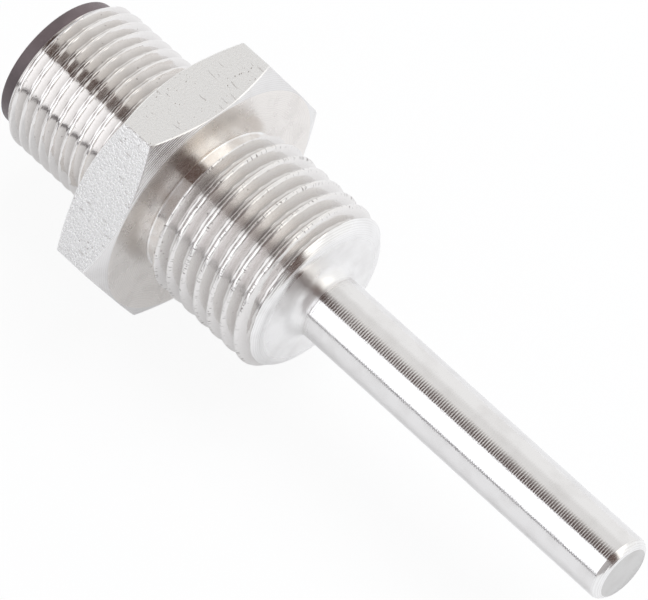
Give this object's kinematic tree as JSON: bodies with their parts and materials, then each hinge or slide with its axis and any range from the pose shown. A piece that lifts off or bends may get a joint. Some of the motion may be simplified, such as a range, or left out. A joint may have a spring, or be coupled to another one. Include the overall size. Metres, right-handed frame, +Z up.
{
  "type": "process temperature sensor",
  "caption": "Screw-in temperature probe: turned stainless body with a hexagon, G1/4 process thread, slender closed stem and an M12 plug with a black contact insert.",
  "frame": {"origin": "centre of the sealing shoulder, the hexagon face that meets the process port", "axes": "+X along the axis towards the tip, -X towards the plug, +Z up through a flat of the hexagon"},
  "size_m": [0.0555, 0.0218, 0.0188],
  "materials": {
    "stainless": "turned",
    "black_plastic": "satin",
    "gold_plate": "polished",
    "shrink_tube": "satin",
    "wire_red": "smooth",
    "wire_white": "smooth",
    "solder": "soldered",
    "leg_wire": "drawn",
    "chip_ceramic": "matte",
    "polyimide": "smooth",
    "compound": "cast",
    "resin": "cast"
  },
  "bodies": {
    "root": {"sensor_body": "stainless", "contact_carrier": "black_plastic", "contact_pin_1": "gold_plate", "contact_pin_2": "gold_plate", "contact_pin_3": "gold_plate", "contact_pin_4": "gold_plate", "pin_sleeve_1": "shrink_tube", "pin_sleeve_2": "shrink_tube", "pin_sleeve_3": "shrink_tube", "pin_sleeve_4": "shrink_tube", "lead_wire_1": "wire_red", "lead_wire_2": "wire_red", "lead_wire_3": "wire_white", "lead_wire_4": "wire_white", "splice_1": "solder", "splice_2": "solder", "chip_lead_1": "leg_wire", "chip_lead_2": "leg_wire", "rtd_chip": "chip_ceramic", "insulating_sleeve": "polyimide", "thermal_compound": "compound", "potting_compound": "resin"}
  },
  "joints": []
}
